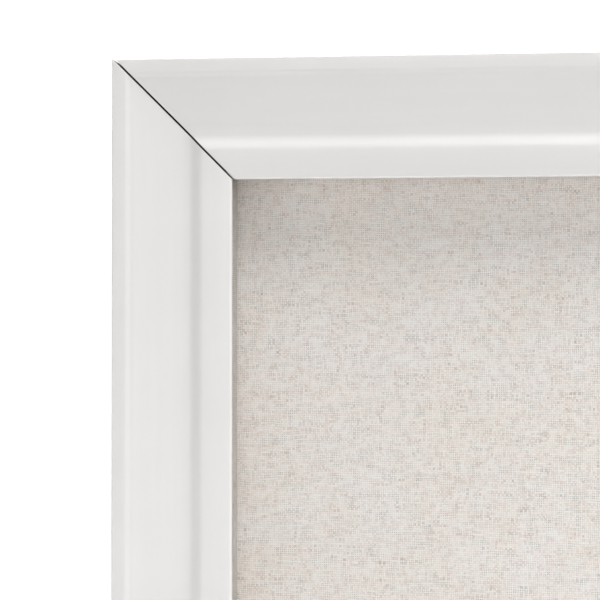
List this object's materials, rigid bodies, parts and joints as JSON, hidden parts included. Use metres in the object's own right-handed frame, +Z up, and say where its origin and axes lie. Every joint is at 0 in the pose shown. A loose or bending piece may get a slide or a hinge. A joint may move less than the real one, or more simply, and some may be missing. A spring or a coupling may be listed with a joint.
{
  "type": "shadow box",
  "caption": "Slim shadow box for wall or shelf: mitred white scooped moulding, glazed front, linen-lined display space, back panel held by turn buttons, ring hangers.",
  "frame": {"origin": "under the middle of the box, on the surface that it stands on", "axes": "+X to the right seen from the front, -Y out through the glass, +Y out of the back, +Z up"},
  "size_m": [0.343, 0.0352, 0.4191],
  "materials": {
    "white_paint": "satin white paint over a smooth primed wood moulding",
    "linen": "plain-weave natural linen, slubby, beige and grey",
    "greyboard": "uncoated grey board",
    "hardboard": "pressed hardboard, matte",
    "glass": "clear picture glass, polished",
    "zinc_plated_steel": "bright zinc plate",
    "nickel_plated_steel": "nickel plate, slightly dulled",
    "rubber": "translucent soft rubber"
  },
  "bodies": {
    "frame": {"rail_top": "white_paint", "rail_bottom": "white_paint", "stile_left": "white_paint", "stile_right": "white_paint", "corner_nail_top_left_outer": "zinc_plated_steel", "corner_nail_top_left_inner": "zinc_plated_steel", "corner_nail_top_right_outer": "zinc_plated_steel", "corner_nail_top_right_inner": "zinc_plated_steel", "corner_nail_bottom_left_outer": "zinc_plated_steel", "corner_nail_bottom_left_inner": "zinc_plated_steel", "corner_nail_bottom_right_outer": "zinc_plated_steel", "corner_nail_bottom_right_inner": "zinc_plated_steel", "glazing": "glass", "linen_cover": "linen", "spacer_top": "linen", "spacer_bottom": "linen", "spacer_left": "linen", "spacer_right": "linen", "backing_board": "greyboard", "back_panel": "hardboard", "turn_button_screw_top": "zinc_plated_steel", "turn_button_screw_bottom": "zinc_plated_steel", "turn_button_screw_left_upper": "zinc_plated_steel", "turn_button_screw_left_lower": "zinc_plated_steel", "turn_button_screw_right_upper": "zinc_plated_steel", "turn_button_screw_right_lower": "zinc_plated_steel", "hanger_plate_left": "nickel_plated_steel", "hanger_plate_right": "nickel_plated_steel", "hanger_screw_left": "zinc_plated_steel", "hanger_screw_right": "zinc_plated_steel", "wall_bumper_left": "rubber", "wall_bumper_right": "rubber"},
    "turn_button_top": {"turn_button_top": "zinc_plated_steel"},
    "turn_button_bottom": {"turn_button_bottom": "zinc_plated_steel"},
    "turn_button_left_upper": {"turn_button_left_upper": "zinc_plated_steel"},
    "turn_button_left_lower": {"turn_button_left_lower": "zinc_plated_steel"},
    "turn_button_right_upper": {"turn_button_right_upper": "zinc_plated_steel"},
    "turn_button_right_lower": {"turn_button_right_lower": "zinc_plated_steel"},
    "hanger_ring_left": {"hanger_ring_left": "nickel_plated_steel"},
    "hanger_ring_right": {"hanger_ring_right": "nickel_plated_steel"}
  },
  "joints": [
    {"name": "turn_button_top_pivot", "type": "hinge", "parent": "frame", "child": "turn_button_top", "pos_m": [0, 0.0133, 0.3987], "axis": [0, 1, 0], "range_deg": [-90, 90]},
    {"name": "turn_button_bottom_pivot", "type": "hinge", "parent": "frame", "child": "turn_button_bottom", "pos_m": [0, 0.0133, 0.0204], "axis": [0, 1, 0], "range_deg": [-90, 90]},
    {"name": "turn_button_left_upper_pivot", "type": "hinge", "parent": "frame", "child": "turn_button_left_upper", "pos_m": [-0.15105, 0.0133, 0.28499], "axis": [0, 1, 0], "range_deg": [-90, 90]},
    {"name": "turn_button_left_lower_pivot", "type": "hinge", "parent": "frame", "child": "turn_button_left_lower", "pos_m": [-0.15105, 0.0133, 0.13411], "axis": [0, 1, 0], "range_deg": [-90, 90]},
    {"name": "turn_button_right_upper_pivot", "type": "hinge", "parent": "frame", "child": "turn_button_right_upper", "pos_m": [0.15105, 0.0133, 0.28499], "axis": [0, 1, 0], "range_deg": [-90, 90]},
    {"name": "turn_button_right_lower_pivot", "type": "hinge", "parent": "frame", "child": "turn_button_right_lower", "pos_m": [0.15105, 0.0133, 0.13411], "axis": [0, 1, 0], "range_deg": [-90, 90]},
    {"name": "hanger_ring_left_swing", "type": "hinge", "parent": "frame", "child": "hanger_ring_left", "pos_m": [-0.15595, 0.015, 0.3269], "axis": [1, 0, 0], "range_deg": [0, 180]},
    {"name": "hanger_ring_right_swing", "type": "hinge", "parent": "frame", "child": "hanger_ring_right", "pos_m": [0.15595, 0.015, 0.3269], "axis": [1, 0, 0], "range_deg": [0, 180]}
  ]
}
